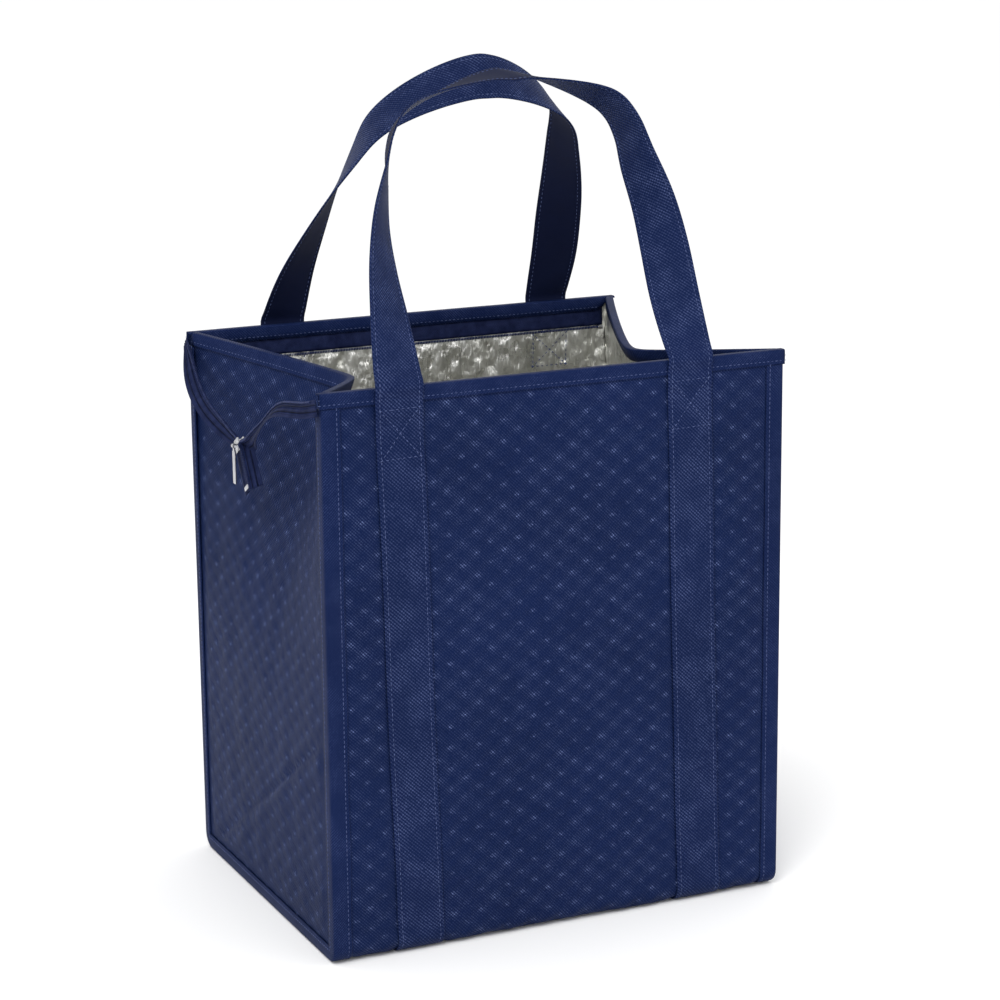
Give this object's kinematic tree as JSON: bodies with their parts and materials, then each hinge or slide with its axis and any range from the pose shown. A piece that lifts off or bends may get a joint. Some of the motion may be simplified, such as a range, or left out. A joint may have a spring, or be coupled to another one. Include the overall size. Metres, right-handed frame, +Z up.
{
  "type": "insulated grocery tote",
  "caption": "Upright navy insulated grocery tote with quilted walls, foil lining, webbing carry handles and an open zip mouth whose closed tail hangs at one side.",
  "frame": {"origin": "on the floor at the middle of the whole tote, zipper tail included; the body's own middle is 4 mm to the right of it", "axes": "+Z up, -Y out of the front panel, +X to the right, so the zipper tail hangs at the -X side"},
  "size_m": [0.342, 0.2628, 0.5714],
  "materials": {
    "shell_fabric": "matte embossed non-woven fabric, quilted in small dimples",
    "binding_fabric": "matte folded non-woven strip",
    "webbing": "matte cross-hatched non-woven webbing, stitched along both edges",
    "zipper_tape": "fine woven tape",
    "zipper_coil": "satin nylon coil",
    "foam": "matte expanded foam sheet",
    "foil": "crinkled bright metallised film",
    "board": "grey-brown fibre board",
    "zipper_metal": "polished plated metal"
  },
  "bodies": {
    "bag": {"wrap_shell": "shell_fabric", "wrap_foam": "foam", "wrap_foil": "foil", "base_board": "board", "gusset_shell_left": "shell_fabric", "gusset_foam_left": "foam", "gusset_foil_left": "foil", "gusset_binding_left": "binding_fabric", "corner_binding_left": "binding_fabric", "webbing_strap_left": "webbing", "gusset_shell_right": "shell_fabric", "gusset_foam_right": "foam", "gusset_foil_right": "foil", "gusset_binding_right": "binding_fabric", "corner_binding_right": "binding_fabric", "webbing_strap_right": "webbing", "top_binding_front": "binding_fabric", "zipper_tape_front": "zipper_tape", "zipper_coil_front": "zipper_coil", "zipper_stop_front": "zipper_metal", "top_binding_back": "binding_fabric", "zipper_tape_back": "zipper_tape", "zipper_coil_back": "zipper_coil", "zipper_stop_back": "zipper_metal"},
    "front_handle": {"front_handle": "webbing"},
    "back_handle": {"back_handle": "webbing"},
    "zipper_tail": {"tail_tape_front": "zipper_tape", "tail_tape_back": "zipper_tape", "tail_coil_front": "zipper_coil", "tail_coil_back": "zipper_coil", "tail_end_stop": "zipper_metal"},
    "slider": {"zipper_slider": "zipper_metal"},
    "pull": {"zipper_pull_tab": "zipper_metal"}
  },
  "joints": [
    {"name": "front_handle_swing", "type": "hinge", "parent": "bag", "child": "front_handle", "pos_m": [-0.006, -0.1308, 0.3825], "axis": [1, 0, 0], "range_deg": [0, 202]},
    {"name": "back_handle_swing", "type": "hinge", "parent": "bag", "child": "back_handle", "pos_m": [0.014, 0.1308, 0.3825], "axis": [-1, 0, 0], "range_deg": [0, 197]},
    {"name": "zipper_tail_swing", "type": "hinge", "parent": "bag", "child": "zipper_tail", "pos_m": [-0.16395, 0, 0.3795], "axis": [0, 1, 0], "range_deg": [0, 180]},
    {"name": "slider_travel", "type": "slide", "parent": "zipper_tail", "child": "slider", "axis": [0, -0.5328, -0.8462], "range_m": [0, 0.022]},
    {"name": "pull_tab_swing", "type": "hinge", "parent": "slider", "child": "pull", "pos_m": [-0.1693, 0.017, 0.321], "axis": [0, 1, 0], "range_deg": [0, 175]}
  ]
}
